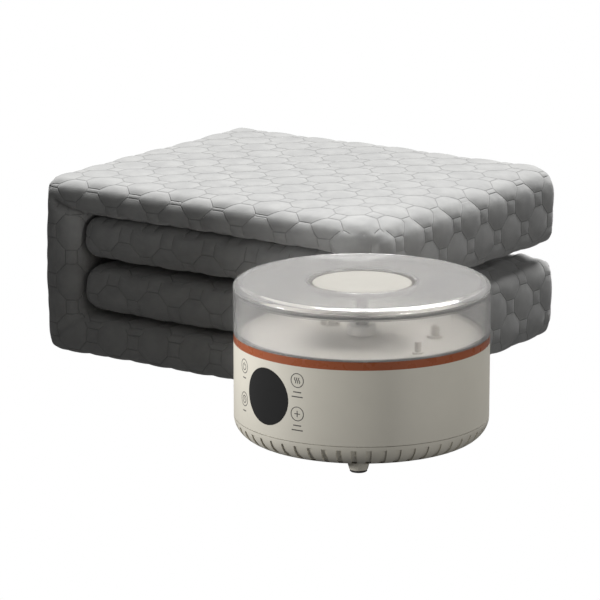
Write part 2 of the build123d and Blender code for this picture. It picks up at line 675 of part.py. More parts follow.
def heater_parts():
    """An aluminium heater block with a water passage, its element, thermostat and thermal fuse."""
    length, depth, height = 78.0, 34.0, 22.0
    water_y = PUMP_Y
    element_at = (HEATER_X + 10, HEATER_Y + 7, FLOOR_Z + 19)
    with BuildPart(UNIT_FLOOR) as block:
        with Locations((HEATER_X, HEATER_Y, FLOOR_Z + 8 + height / 2)):
            Box(length, depth, height)
        fillet(block.edges().filter_by(Axis.Z), 3)
        with Locations((HEATER_X - length / 2 + 8, HEATER_Y, FLOOR_Z + 4),
                       (HEATER_X + length / 2 - 8, HEATER_Y, FLOOR_Z + 4)):
            Cylinder(3.0, 8.0)
        with Locations((HEATER_X - length / 2 - 4, water_y, WATER_Z)):
            Cylinder(STEM_R, 12, rotation=(0, 90, 0))
        with Locations((HEATER_OUT_X, HEATER_Y + depth / 2 + 4, WATER_Z)):
            Cylinder(STEM_R, 12, rotation=(90, 0, 0))
        with Locations((HEATER_X - 12, water_y, WATER_Z)):
            Cylinder(STEM_BORE_R, length + 6, rotation=(0, 90, 0), mode=Mode.SUBTRACT)
        with Locations((HEATER_OUT_X, HEATER_Y + depth / 2 - 6, WATER_Z)):
            Cylinder(STEM_BORE_R, 36, rotation=(90, 0, 0), mode=Mode.SUBTRACT)
        with Locations(element_at):
            Cylinder(5.2, length + 4, rotation=(0, 90, 0), mode=Mode.SUBTRACT)
    write(block, "heater_block")
    with BuildPart(UNIT_FLOOR) as element:
        with Locations(element_at):
            Cylinder(5.0, length - 6, rotation=(0, 90, 0))
    write(element, "heating_element")
    for name, shift in (("thermostat", -18.0), ("thermal_fuse", 14.0)):
        with BuildPart(UNIT_FLOOR) as disc:
            with BuildSketch(level(FLOOR_Z + 8 + height)):
                with Locations((HEATER_X + shift, HEATER_Y)):
                    Circle(8.0 if name == "thermostat" else 4.0)
            extrude(amount=6.0)
            fillet(disc.edges().group_by(Axis.Z)[-1], 1.0)
        write(disc, name)


def electronics():
    """The main board on four standoffs with its screws, and the mains transformer."""
    board_x, board_y, board_z = -22.0, -48.0, FLOOR_Z + 8
    half_w, half_d = 22.0, 20.0
    holes = [(board_x + sx * half_w, board_y + sy * half_d) for sx in (-1, 1) for sy in (-1, 1)]
    coil_x, coil_y, coil_z = 29.0, -50.0, FLOOR_Z + 20
    with BuildPart(UNIT_FLOOR) as board:
        with BuildSketch(level(board_z)):
            with Locations((board_x, board_y)):
                RectangleRounded(2 * half_w + 9, 2 * half_d + 9, 2)
            with Locations(*holes):
                Circle(1.6, mode=Mode.SUBTRACT)
        extrude(amount=1.6)
        chips = ((-8, 6, 16, 12, 9), (12, 8, 10, 10, 14), (6, -10, 18, 8, 6), (-12, -9, 9, 9, 11))
        for x, y, w, d, h in chips:
            with Locations((board_x + x, board_y + y, board_z + 1.6 + h / 2)):
                Box(w, d, h)
    write(board, "main_board")
    with BuildPart(UNIT_FLOOR) as standoffs:
        with BuildSketch(level(FLOOR_Z)):
            with Locations(*holes):
                Circle(3.0)
                Circle(1.25, mode=Mode.SUBTRACT)
        extrude(amount=8.0)
    write(standoffs, "board_standoffs")
    with BuildPart(UNIT_FLOOR) as board_screws:
        with BuildSketch(level(board_z + 1.6)):
            with Locations(*holes):
                Circle(2.6)
        extrude(amount=1.8)
        with BuildSketch(level(board_z - 5)):
            with Locations(*holes):
                Circle(1.2)
        extrude(amount=6.6)
    write(board_screws, "board_screws")
    with BuildPart(UNIT_FLOOR) as core:
        with Locations((coil_x, coil_y, coil_z)):
            Box(36, 16, 36)
        with Locations((coil_x - 10, coil_y, coil_z), (coil_x + 10, coil_y, coil_z)):
            Box(8, 20, 22.4, mode=Mode.SUBTRACT)
        with Locations((coil_x, coil_y, FLOOR_Z + 1)):
            Box(43, 16, 2)
    write(core, "transformer_core")
    with BuildPart(UNIT_FLOOR) as winding:
        with Locations((coil_x, coil_y, coil_z)):
            Box(27.6, 32, 22)
        fillet(winding.edges().filter_by(Axis.Z), 1.5)
        with Locations((coil_x, coil_y, coil_z)):
            Box(12.4, 16.4, 30, mode=Mode.SUBTRACT)
    write(winding, "transformer_winding")


def rear_parts():
    """The rear plate with two hose sockets, their release buttons, and the mains inlet."""
    outward = Plane(origin=UNIT_FLOOR.from_local_coords((0, PLATE_Y, 0)),
                    x_dir=[-c for c in UNIT_RIGHT], z_dir=[-c for c in UNIT_FRONT])
    with BuildPart(UNIT_FLOOR) as plate:
        with BuildSketch(outward):
            with Locations((0, PORT_Z)):
                Rectangle(PLATE_W, PLATE_H)
            with Locations(*[(-x, PORT_Z) for x in PORT_X]):
                Circle(SOCKET_R + 0.2, mode=Mode.SUBTRACT)
            with Locations(*[(-x, PORT_Z + RELEASE_UP) for x in PORT_X]):
                Rectangle(RELEASE_W + 0.8, RELEASE_H + 0.8, mode=Mode.SUBTRACT)
            with Locations((-INLET_X, PORT_Z)):
                Rectangle(INLET_W + 0.6, INLET_H + 0.6, mode=Mode.SUBTRACT)
        extrude(amount=PLATE_T)
    write(plate, "rear_plate")
    for name, x in (("outlet_socket", PORT_X[0]), ("return_socket", PORT_X[1])):
        with BuildPart(UNIT_FLOOR) as socket:
            with BuildSketch(outward.offset(-SOCKET_DEPTH)):
                with Locations((-x, PORT_Z)):
                    Circle(SOCKET_R)
            extrude(amount=SOCKET_DEPTH + SOCKET_PROUD)
            with BuildSketch(outward.offset(-24)):
                with Locations((-x, PORT_Z)):
                    Circle(STEM_R)
            extrude(amount=12)
            with BuildSketch(outward.offset(-10.6)):
                with Locations((-x, PORT_Z)):
                    Circle(PORT_BORE_R)
            extrude(amount=20, mode=Mode.SUBTRACT)
            with BuildSketch(outward.offset(-26)):
                with Locations((-x, PORT_Z)):
                    Circle(2.2)
            extrude(amount=20, mode=Mode.SUBTRACT)
            chamfer(socket.edges().filter_by(GeomType.CIRCLE).sort_by(
                Axis(UNIT_FLOOR.origin, [-c for c in UNIT_FRONT]))[-1], 0.6)
        write(socket, name)
    for name, x in (("outlet_release", PORT_X[0]), ("return_release", PORT_X[1])):
        with BuildPart(UNIT_FLOOR) as button:
            with BuildSketch(outward.offset(-4)):
                with Locations((-x, PORT_Z + RELEASE_UP)):
                    RectangleRounded(RELEASE_W, RELEASE_H, 1.0)
            extrude(amount=9.4)
        write(button, name)
    with BuildPart(UNIT_FLOOR) as inlet:
        with BuildSketch(outward.offset(-16)):
            with Locations((-INLET_X, PORT_Z)):
                RectangleRounded(INLET_W, INLET_H, 2)
        extrude(amount=19.4)
        with BuildSketch(outward.offset(-10)):
            with Locations((-INLET_X, PORT_Z)):
                SlotOverall(17.0, 9.0)
        extrude(amount=20, mode=Mode.SUBTRACT)
        with BuildSketch(outward.offset(-10)):
            with Locations((-INLET_X - 4, PORT_Z), (-INLET_X + 4, PORT_Z)):
                Circle(1.2)
        extrude(amount=9)
    write(inlet, "mains_inlet")


def hoses():
    """The silicone hoses between tank, pump, heater and rear sockets."""
    socket_stem = PLATE_Y - 14.5
    outlet_x, return_x = PORT_X
    routes = {
        "suction_hose": [
            (*SUCTION_AT, DECK_Z - 3), (*SUCTION_AT, 76.0),
            (PUMP_X, PUMP_Y, 62.0), (PUMP_X, PUMP_Y, PUMP_Z + PUMP_H + 4),
        ],
        "supply_hose": [
            (HEATER_OUT_X, 42.0, WATER_Z), (HEATER_OUT_X, 71.0, WATER_Z), (outlet_x, 71.0, WATER_Z),
            (outlet_x, 53.0, 44.0), (outlet_x, 64.0, PORT_Z), (outlet_x, socket_stem, PORT_Z),
        ],
        "return_hose": [
            (return_x, socket_stem, PORT_Z), (return_x, 66.0, PORT_Z),
            (*RETURN_AT, 78.0), (*RETURN_AT, DECK_Z - 3),
        ],
    }
    for name, route in routes.items():
        write(hose(route), name)
    with BuildPart(UNIT_FLOOR) as link:
        with Locations(((PUMP_X + PUMP_R + HEATER_X - 39) / 2 + 4, PUMP_Y, WATER_Z)):
            Cylinder(HOSE_R, 16.0, rotation=(0, 90, 0))
            Cylinder(HOSE_BORE_R, 16.0, rotation=(0, 90, 0), mode=Mode.SUBTRACT)
    write(link, "pressure_hose")


os.makedirs("parts", exist_ok=True)
cover_and_wadding("lower", 0.0, HALF_TOP, 0.0, LOWER_SLIT, PORT_TUBE_Z, pocket=True)
cover_and_wadding("upper", UPPER_BOTTOM, MAT_HEIGHT, MAT_HEIGHT, UPPER_SLIT, UPPER_TUBE_Z, pocket=False)
mat_spine()
water_tube("water_tube_lower", PORT_TUBE_Z, MAT_BACK - PORT_POCKET["depth"])
water_tube("water_tube_upper", UPPER_TUBE_Z, MAT_BACK - 14)
mat_port()
base_tray()
foot_pads()
screws("base_screws", FOOT_PLACES, PAD_H + 0.9, 28.0, 3.2, 1.2)
upper_housing()
display_parts()
tank_parts()
tank_fittings()
lid_parts()
pump_parts()
heater_parts()
electronics()
rear_parts()
hoses()
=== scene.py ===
"""Folded quilted mat and its round heater unit: soft goods, finishes, lights and camera.

Lengths are millimetres, except the places of the lights and the camera, which are metres. The
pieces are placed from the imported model's boxes. X runs along the folded mat, Y across it and Z up.
"""
import math

import bmesh
import bpy
import numpy as np
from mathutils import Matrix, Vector


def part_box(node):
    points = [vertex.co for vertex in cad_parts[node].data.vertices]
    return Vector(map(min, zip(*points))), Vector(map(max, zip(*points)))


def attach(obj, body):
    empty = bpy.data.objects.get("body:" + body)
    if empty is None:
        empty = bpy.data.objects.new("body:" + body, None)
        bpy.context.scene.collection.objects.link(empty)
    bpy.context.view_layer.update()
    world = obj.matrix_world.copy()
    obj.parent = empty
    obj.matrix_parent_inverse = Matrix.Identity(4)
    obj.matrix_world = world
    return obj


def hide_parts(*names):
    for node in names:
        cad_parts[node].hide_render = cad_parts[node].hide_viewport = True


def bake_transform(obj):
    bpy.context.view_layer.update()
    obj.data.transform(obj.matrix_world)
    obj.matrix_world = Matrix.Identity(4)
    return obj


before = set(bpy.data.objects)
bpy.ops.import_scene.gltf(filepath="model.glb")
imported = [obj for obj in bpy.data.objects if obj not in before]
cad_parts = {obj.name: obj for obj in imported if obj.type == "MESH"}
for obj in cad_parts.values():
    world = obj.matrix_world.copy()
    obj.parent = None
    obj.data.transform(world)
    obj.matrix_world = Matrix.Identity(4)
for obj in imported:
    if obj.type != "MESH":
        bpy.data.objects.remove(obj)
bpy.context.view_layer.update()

MM = 0.001

# ---- the quilting ----
PERIOD = 50.0           # distance between octagons in a row
SQUARE = 14.0           # side of the small squares between them
PUFF = 1.5              # how far an octagon's middle stands over its stitches
PUFF_SQUARE = 0.8       # the same for a square
PUFF_FULLNESS = 2.6     # how steeply a puff rises beside its stitches
PUFF_SUNK = 0.6         # share of a puff's height that lies below the piece's own surface
WAVE_SIZE = 46.0        # length of the slow unevenness
LINE = 0.8              # half width of a stitch line, painted darker as the shade in its furrow
ROLL = 16.5             # radius of the rounded front ends of the layers
BACK_ROLL = 8.0         # the same at the back
CORNER = 38.0           # rounding of the front right corner, seen from above
VOXEL = 4.4             # grid of the remesh
FABRIC_DARK, FABRIC_LIGHT = (0.33, 0.33, 0.325), (0.38, 0.38, 0.372)
# painted shade: the colour of the stitch lines, darker as the shade in the stitched furrows
STITCH_SHADE_COLOUR = (0.27, 0.27, 0.265)
ROUNDS = 7              # smoothing rounds after the remesh


def box_mm(node):
    """A CAD node's lowest and highest corners in millimetres."""
    low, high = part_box(node)
    return Vector(low) / MM, Vector(high) / MM


LOWER_LOW, LOWER_HIGH = box_mm("mat_cover_lower")
UPPER_LOW, UPPER_HIGH = box_mm("mat_cover_upper")
SPINE_LOW, SPINE_HIGH = box_mm("mat_cover_spine")
PORT_LOW, PORT_HIGH = box_mm("mat_port")
WALL_LOW, WALL_HIGH = box_mm("clear_wall")
LENS_LOW, LENS_HIGH = box_mm("display_lens")

LEFT, RIGHT = SPINE_LOW.x, LOWER_HIGH.x
FRONT, BACK = LOWER_LOW.y, LOWER_HIGH.y
HEIGHT = UPPER_HIGH.z
SPINE = SPINE_HIGH.x - SPINE_LOW.x
HALF_TOP, UPPER_BOTTOM = LOWER_HIGH.z, UPPER_LOW.z
LOWER_SLIT, UPPER_SLIT = 43.5, 141.7    # levels where the wrap parts from the inner flaps
FOLD_DEPTH = 40.0       # how far the folded right side reaches in before its two layers part
MIDDLE = HEIGHT / 2
RIGHT_LOW, RIGHT_HIGH = HALF_TOP - 10.5, UPPER_BOTTOM + 1.0      # the gap between the halves on the right
RIGHT_GAP = (RIGHT_LOW + RIGHT_HIGH) / 2
WALL_LIMIT = 12.0       # how far past the spine the wrap is still parted at the spine's middle

UNIT_X, UNIT_Y = (WALL_LOW.x + WALL_HIGH.x) / 2, (WALL_LOW.y + WALL_HIGH.y) / 2
UNIT_TURN = math.radians(-13.0)
HOUSING_R = 114.6
DISPLAY_Z = (LENS_LOW.z + LENS_HIGH.z) / 2
KEY_ANGLE = math.radians(17.5)          # from the display's middle to a column of keys
KEY_HIGH, KEY_LOW = 20.0, -10.0         # the two rows of keys, from the display's middle
KEY_RING = 6.2
SPOT_SPREAD = math.radians(18)
CAMERA_PLACE = (1.896, -2.761, 0.8786)
CAMERA_AZIMUTH, CAMERA_ELEVATION = math.radians(34.7), math.radians(13.4)
CAMERA_LENS = 216.0


# ======================= shape helpers =======================

def mesh_from(name, shape):
    """A mesh from an edited shape, which is freed."""
    mesh = bpy.data.meshes.new(name)
    shape.to_mesh(mesh)
    shape.free()
    return mesh


def linked(name, data):
    """A new object in the scene."""
    obj = bpy.data.objects.new(name, data)
    bpy.context.collection.objects.link(obj)
    return obj


def inset(corners, depth):
    """Square corners (x, z, radius), in counterclockwise order, moved inwards by a depth."""
    moved = []
    for index, (x, z, radius) in enumerate(corners):
        here = Vector((x, z))
        arriving = (here - Vector(corners[index - 1][:2])).normalized()
        leaving = (Vector(corners[(index + 1) % len(corners)][:2]) - here).normalized()
        inward = Vector((-arriving.y - leaving.y, arriving.x + leaving.x)) * depth
        outer_corner = arriving.x * leaving.y - arriving.y * leaving.x > 0
        left_over = max(radius - depth, 1.0) if outer_corner else radius + depth
        moved.append((x + inward.x, z + inward.y, left_over))
    return moved


def rounded(corners):
    """A closed outline from (x, z, radius) corners, each corner rounded."""
    points = []
    for index, (x, z, radius) in enumerate(corners):
        here = Vector((x, z))
        before = Vector(corners[index - 1][:2]) - here
        after = Vector(corners[(index + 1) % len(corners)][:2]) - here
        start = here + before.normalized() * radius
        end = here + after.normalized() * radius
        for step in range(7):
            t = step / 6
            points.append((1 - t) ** 2 * start + 2 * t * (1 - t) * here + t ** 2 * end)
    return points


def prism(name, corners, front, back, roll=0.0, back_roll=0.0):
    """A solid with a rounded outline in XZ, from front to back along Y, its ends rolled over."""
    shares = (0, 0.05, 0.15, 0.3, 0.5, 0.75, 1) if roll else (0,)
    depths = [1 - math.sqrt(2 * s - s * s) for s in shares]
    stations = [(front + s * roll, roll * depth) for s, depth in zip(shares, depths)]
    far_end = [(back - s * back_roll, back_roll * depth) for s, depth in zip(shares, depths)]
    stations += reversed(far_end)
    shape = bmesh.new()
    loops = []
    for y, depth in stations:
        outline = rounded(inset(corners, depth))
        loops.append([shape.verts.new((p.x * MM, y * MM, p.y * MM)) for p in outline])
    shape.faces.new(loops[0])
    shape.faces.new(list(reversed(loops[-1])))
    for near, far in zip(loops, loops[1:]):
        for index in range(len(near)):
            shape.faces.new((near[index - 1], far[index - 1], far[index], near[index]))
    bmesh.ops.recalc_face_normals(shape, faces=shape.faces)
    return linked(name, mesh_from(name, shape))


def applied(obj):
    """The object's mesh with its modifiers applied and taken off."""
    graph = bpy.context.evaluated_depsgraph_get()
    mesh = bpy.data.meshes.new_from_object(obj.evaluated_get(graph))
    obj.modifiers.clear()
    obj.data = mesh
    return obj


def soften(obj, rounds=ROUNDS):
    """Remeshes a solid evenly, rounds its edges like stuffed fabric and divides it once."""
    remesh = obj.modifiers.new("even", "REMESH")
    remesh.mode = "VOXEL"
    remesh.voxel_size = VOXEL * MM
    smooth = obj.modifiers.new("round", "SMOOTH")
    smooth.factor = 0.5
    smooth.iterations = rounds
    finer = obj.modifiers.new("finer", "SUBSURF")
    finer.levels = 1
    finer.render_levels = 1
    applied(obj)
    obj.data.polygons.foreach_set("use_smooth", [True] * len(obj.data.polygons))
    return obj


def arrays(mesh):
    """Vertex places in millimetres and vertex normals."""
    count = len(mesh.vertices)
    places = np.empty(count * 3)
    normals = np.empty(count * 3)
    mesh.vertices.foreach_get("co", places)
    mesh.vertex_normals.foreach_get("vector", normals)
    return places.reshape(-1, 3) / MM, normals.reshape(-1, 3)


def put_back(mesh, places):
    """Writes vertex places in millimetres back to the mesh."""
    mesh.vertices.foreach_set("co", (places * MM).ravel())
    mesh.update()


def bump(value, centre, width):
    """A smooth hill of height 1."""
    return np.exp(-(((value - centre) / width) ** 2))


# ======================= quilting =======================

def relief(u, v):
    """Height of the quilting over its stitches, for pattern coordinates in millimetres."""
    a = (u + v) / PERIOD
    b = (u - v) / PERIOD
    ra, rb = np.round(a), np.round(b)
    du = np.abs(u - (ra + rb) * PERIOD / 2)
    dv = np.abs(v - (ra - rb) * PERIOD / 2)
    flat = (PERIOD - SQUARE) / 2
    octagon = np.minimum((PERIOD / 2 - du - dv) / math.sqrt(2), np.minimum(flat - du, flat - dv))
    ha, hb = np.floor(a) + 0.5, np.floor(b) + 0.5
    su = np.abs(u - (ha + hb) * PERIOD / 2)
    sv = np.abs(v - (ha - hb) * PERIOD / 2)
    square = np.minimum(SQUARE / 2 - su, SQUARE / 2 - sv)
    inside = square > 0
    from_stitch = np.where(inside, square, np.maximum(octagon, 0))
    reach = np.where(inside, SQUARE / 2, flat)
    top = np.where(inside, PUFF_SQUARE, PUFF)
    share = np.clip(from_stitch / reach, 0, 1)
    return top * (1 - (1 - share) ** PUFF_FULLNESS)


def pattern_axes(places, shift):
    """Distances along X, Y and Z from the block's top front right edge, where the pattern starts."""
    x = places[:, 0] - RIGHT + shift[0]
    y = places[:, 1] - FRONT + shift[1]
    z = HEIGHT - places[:, 2] + shift[2]
    return x, y, z


def quilted_height(places, normals, shift):
    """The quilting's height at each vertex. It runs on over the edges of the block."""
    x, y, z = pattern_axes(places, shift)
    weight = np.abs(normals) ** 8
    weight /= weight.sum(axis=1, keepdims=True)
    return weight[:, 0] * relief(y, z) + weight[:, 1] * relief(x, z) + weight[:, 2] * relief(x, y)


def lay_pattern(mesh, shift):
    """Stores the pattern's own coordinates, in periods, so that the stitch lines and their painted shade can
    be drawn there.
    """
    places, _ = arrays(mesh)
    count = len(mesh.loops)
    corners = np.empty(count, dtype=np.int32)
    mesh.loops.foreach_get("vertex_index", corners)
    sizes = np.empty(len(mesh.polygons), dtype=np.int32)
    mesh.polygons.foreach_get("loop_total", sizes)
    facing = np.empty(len(mesh.polygons) * 3)
    mesh.polygons.foreach_get("normal", facing)
    main = np.repeat(np.abs(facing.reshape(-1, 3)).argmax(axis=1), sizes)
    x, y, z = pattern_axes(places[corners], shift)
    pattern = np.stack([np.where(main == 0, y, x), np.where(main == 2, y, z)], axis=1) / PERIOD
    layer = mesh.uv_layers.new(name="pattern")
    layer.data.foreach_set("uv", pattern.ravel())


def slow_waves(places, size):
    """Unhurried unevenness of stuffed fabric, about 1 high."""
    x, y, z = (places / size).T
    first = np.sin(x * 1.7 + 1.3 * np.sin(y * 1.1 + 0.6) + z)
    second = np.sin(y * 2.1 + 0.9 * np.sin(x * 1.4 + 2.0) - 0.7 * z)
    return 0.5 * (first + second)


def quilt(obj, shift=(0.0, 0.0, 0.0), unevenness=0.5):
    """Presses the quilting into a softened piece."""
    places, normals = arrays(obj.data)
    height = quilted_height(places, normals, shift) - PUFF_SUNK * PUFF
    height += unevenness * slow_waves(places, WAVE_SIZE)
    lay_pattern(obj.data, shift)
    put_back(obj.data, places + normals * height[:, None])
    return obj


def cut(obj, keep_above):
    """Keeps the upper or the lower half of the wrap, parted in the spine's middle, as a new mesh."""
    shape = bmesh.new()
    shape.from_mesh(obj.data)
    limit = (LEFT + SPINE + WALL_LIMIT) * MM
    wall = [face for face in shape.faces if face.calc_center_median().x < limit]
    parts = {edge for face in wall for edge in face.edges} | {vert for face in wall for vert in face.verts}
    bmesh.ops.bisect_plane(
        shape, geom=wall + list(parts), plane_co=(0, 0, MIDDLE * MM), plane_no=(0, 0, 1),
    )
    dropped = []
    for face in shape.faces:
        centre = face.calc_center_median()
        level = MIDDLE if centre.x < limit else RIGHT_GAP
        if (centre.z > level * MM) != keep_above:
            dropped.append(face)
    bmesh.ops.delete(shape, geom=dropped, context="FACES")
    return mesh_from(obj.name, shape)


# ======================= the mat =======================

def outer_wrap():
    """The layer that wraps the whole fold: bottom, spine and top, with both folded right sides."""
    inner_x = LEFT + SPINE
    stub_x = RIGHT - FOLD_DEPTH
    left, right, top = LEFT - 6, RIGHT + 4, HEIGHT + 1.5
    low, high = RIGHT_LOW, RIGHT_HIGH
    solid = prism("outer_wrap", [
        (left, 0.5, 15), (right, 0.5, 24), (right, low, 20),
        (stub_x, low, 6), (stub_x, LOWER_SLIT - 2.0, 1), (inner_x, LOWER_SLIT - 2.0, 7),
        (inner_x, UPPER_SLIT + 2.0, 7), (stub_x, UPPER_SLIT + 2.0, 1), (stub_x, high, 6),
        (right, high, 19), (right, top, 24), (left, top, 5),
    ], FRONT - 0.5, BACK + 0.5, ROLL, BACK_ROLL)
    pocket = prism("pocket", [
        (PORT_LOW.x - 2, PORT_LOW.z - 2, 3), (PORT_HIGH.x + 2, PORT_LOW.z - 2, 3),
        (PORT_HIGH.x + 2, PORT_HIGH.z + 2, 3), (PORT_LOW.x - 2, PORT_HIGH.z + 2, 3),
    ], PORT_LOW.y - 1.5, BACK + 20)
    hole = solid.modifiers.new("pocket", "BOOLEAN")
    hole.operation = "DIFFERENCE"
    hole.solver = "EXACT"
    hole.object = pocket
    applied(solid)
    bpy.data.objects.remove(pocket)
    return soften(solid)


def near_line(x, z, start, end, width):
    """A smooth ridge of height 1 along a line in XZ."""
    start, end = np.array(start), np.array(end)
    along = end - start
    share = np.clip(((x - start[0]) * along[0] + (z - start[1]) * along[1]) / (along @ along), 0, 1)
    away = np.hypot(x - start[0] - share * along[0], z - start[1] - share * along[1])
    return np.exp(-((away / width) ** 2))


def crease(places, normals):
    """Presses in the end faces where the wrap turns a corner or folds."""
    x, _, z = places.T
    end_face = np.abs(normals[:, 1]) ** 0.5
    top_crease = near_line(x, z, (LEFT + 9, HEIGHT - 20), (LEFT + SPINE, UPPER_SLIT + 3), 4.0)
    low_crease = near_line(x, z, (LEFT + 5, 14), (LEFT + SPINE, LOWER_SLIT - 3), 3.2)
    fold = near_line(x, z, (RIGHT - FOLD_DEPTH, UPPER_SLIT), (RIGHT - 18, UPPER_SLIT - 8), 2.4)
    low_fold = near_line(x, z, (RIGHT - FOLD_DEPTH, LOWER_SLIT), (RIGHT - 18, LOWER_SLIT + 5), 2.4)
    depth = end_face * (7.0 * top_crease + 3.0 * low_crease + 3.0 * fold + 3.0 * low_fold)
    places -= normals * depth[:, None]


def sag_and_crown(places, across, along):
    """The top's sag at its right and front, its crown, the spine's bulge and the lower half's ripples."""
    x, y, z = places.T
    crown = 1 - 0.5 * across ** 2 - 0.5 * along ** 2
    on_top = np.clip((z - HEIGHT + 60) / 60, 0, 1)
    right_sag = np.clip((x - RIGHT + 55) / 55, 0, 1) ** 2 * (0.6 - 0.5 * across)
    to_right = np.clip((along + 1) / 2, 0, 1) ** 2
    front_width = 42 + 28 * to_right
    front_sag = np.clip((FRONT + front_width - y) / front_width, 0, 1) ** 2
    places[:, 2] -= on_top * (6 * right_sag + (2.5 + 5 * to_right) * front_sag)
    places[:, 2] += 1.2 * crown * np.clip((z - HEIGHT + 8) / 8, 0, 1)
    places[:, 0] -= 3.0 * bump(z, MIDDLE, 60) * np.clip((LEFT + 12 - x) / 12, 0, 1)
    low_top = np.clip((x - RIGHT + 70) / 30, 0, 1) * bump(z, RIGHT_LOW, 8) * (z < RIGHT_GAP)
    places[:, 2] += 1.6 * low_top * np.sin(x / 5.0 + 1.2 * np.sin(y / 37.0))


def round_corner(places):
    """Rounds the front right corner as seen from above, by laying a square onto a circle."""
    x, y, _ = places.T
    over_x = np.clip((x - RIGHT + CORNER) / CORNER, 0, 1.15)
    over_y = np.clip((FRONT + CORNER - y) / CORNER, 0, 1.15)
    places[:, 0] -= CORNER * over_x * (1 - np.sqrt(1 - np.minimum(over_y, 1) ** 2 / 2))
    places[:, 1] += CORNER * over_y * (1 - np.sqrt(1 - np.minimum(over_x, 1) ** 2 / 2))


def shape_wrap(obj):
    """Gives the softened wrap the shape of a folded, stuffed mat."""
    places, normals = arrays(obj.data)
    across = (places[:, 1] - (FRONT + BACK) / 2) / (BACK - FRONT) * 2
    along = (places[:, 0] - (LEFT + RIGHT) / 2) / (RIGHT - LEFT) * 2
    crease(places, normals)
    sag_and_crown(places, across, along)
    round_corner(places)
    put_back(obj.data, places)


def quilt_pieces():
    """The wrap, cut at the middle of the spine into an upper and a lower part."""
    wrap = quilt_wrap_mesh()
    upper = bpy.data.objects.new("quilt_outer_upper", cut(wrap, True))
    lower = bpy.data.objects.new("quilt_outer_lower", cut(wrap, False))
    bpy.data.objects.remove(wrap)
    for piece in (upper, lower):
        bpy.context.collection.objects.link(piece)
        piece.data.name = piece.name
    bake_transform(upper)
    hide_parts("mat_cover_upper", "mat_wadding_upper", "mat_cover_spine", "mat_wadding_spine")
    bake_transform(lower)
    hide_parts("mat_cover_lower", "mat_wadding_lower")
    return [upper, lower]


def quilt_wrap_mesh():
    """The whole wrap with its shape and quilting."""
    wrap = outer_wrap()
    shape_wrap(wrap)
    return quilt(wrap)


def flap(name, bottom, top, body, shift):
    """An inner layer: free on the left, its right end inside the folded side."""
    piece = prism(name, [
        (LEFT + SPINE - 3, bottom, 19), (RIGHT - FOLD_DEPTH + 14, bottom, 6),
        (RIGHT - FOLD_DEPTH + 14, top, 6), (LEFT + SPINE - 3, top, 19),
    ], FRONT + 5.5, BACK - 1.5, 19.0, 12.0)
    soften(piece)
    places, _ = arrays(piece.data)
    share = np.clip((places[:, 0] - RIGHT + 150) / 110, 0, 1)
    sag = share * share * (3 - 2 * share)
    upper = np.clip((UPPER_SLIT - places[:, 2]) / (UPPER_SLIT - UPPER_BOTTOM), 0, 1) * 3.7
    lower = np.clip((places[:, 2] - LOWER_SLIT) / (HALF_TOP - LOWER_SLIT), 0, 1) * 7.0
    places[:, 2] -= sag * (upper if body == "mat_upper" else lower)
    put_back(piece.data, places)
    quilt(piece, shift, 0.7)
    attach(piece, body)
    return piece


def make_mat():
    """All visible parts of the mat."""
    upper_flap = flap("quilt_flap_upper", UPPER_BOTTOM + 2.2, UPPER_SLIT - 1.0, "mat_upper", (13.0, 7.0, 4.0))
    lower_flap = flap("quilt_flap_lower", LOWER_SLIT + 1.8, HALF_TOP - 2.6, "mat_lower", (29.0, 17.0, 9.0))
    pieces = [*quilt_pieces(), upper_flap, lower_flap]
    for piece in pieces:
        piece.data.materials.clear()
        piece.data.materials.append(fabric())
    return pieces


# ======================= materials =======================

def shader(name):
    """A new material, its node tree and its Principled shader."""
    material = bpy.data.materials.new(name)
    material.use_nodes = True
    tree = material.node_tree
    return material, tree, tree.nodes["Principled BSDF"]


def set_shader(bsdf, **values):
    """Sets shader inputs by name; underscores stand for spaces."""
    for name, value in values.items():
        if isinstance(value, tuple):
            value = (*value, 1.0)
        bsdf.inputs[name.replace("_", " ")].default_value = value


def noise(tree, scale, detail=3.0, roughness=0.55):
    """A noise texture on object coordinates, in metres."""
    coords = tree.nodes.new("ShaderNodeTexCoord")
    texture = tree.nodes.new("ShaderNodeTexNoise")
    texture.inputs["Scale"].default_value = scale
    texture.inputs["Detail"].default_value = detail
    texture.inputs["Roughness"].default_value = roughness
    tree.links.new(coords.outputs["Object"], texture.inputs["Vector"])
    return texture


def varied_colour(tree, bsdf, texture, dark, light):
    """Lets the texture vary the base colour between two close shades."""
    ramp = tree.nodes.new("ShaderNodeValToRGB")
    ramp.color_ramp.elements[0].position = 0.35
    ramp.color_ramp.elements[0].color = (*dark, 1)
    ramp.color_ramp.elements[1].position = 0.65
    ramp.color_ramp.elements[1].color = (*light, 1)
    tree.links.new(texture.outputs["Fac"], ramp.inputs["Fac"])
    tree.links.new(ramp.outputs["Color"], bsdf.inputs["Base Color"])


def rough_surface(tree, bsdf, texture, strength, distance):
    """A bump from the texture, with its height in metres."""
    node = tree.nodes.new("ShaderNodeBump")
    node.inputs["Strength"].default_value = strength
    node.inputs["Distance"].default_value = distance
    tree.links.new(texture.outputs["Fac"], node.inputs["Height"])
    tree.links.new(node.outputs["Normal"], bsdf.inputs["Normal"])


def varied_gloss(tree, bsdf, texture, low, high):
    """Lets the texture vary the roughness."""
    spread = tree.nodes.new("ShaderNodeMapRange")
    spread.inputs["To Min"].default_value = low
    spread.inputs["To Max"].default_value = high
    tree.links.new(texture.outputs["Fac"], spread.inputs["Value"])
    tree.links.new(spread.outputs["Result"], bsdf.inputs["Roughness"])


def maths(tree, operation, first, second=None):
    """A maths node. Each input is a number or another node's output."""
    node = tree.nodes.new("ShaderNodeMath")
    node.operation = operation
    for socket, value in zip(node.inputs, (first, second)):
        if value is None:
            continue
        if isinstance(value, (int, float)):
            socket.default_value = value
        else:
            tree.links.new(value, socket)
    return node.outputs["Value"]


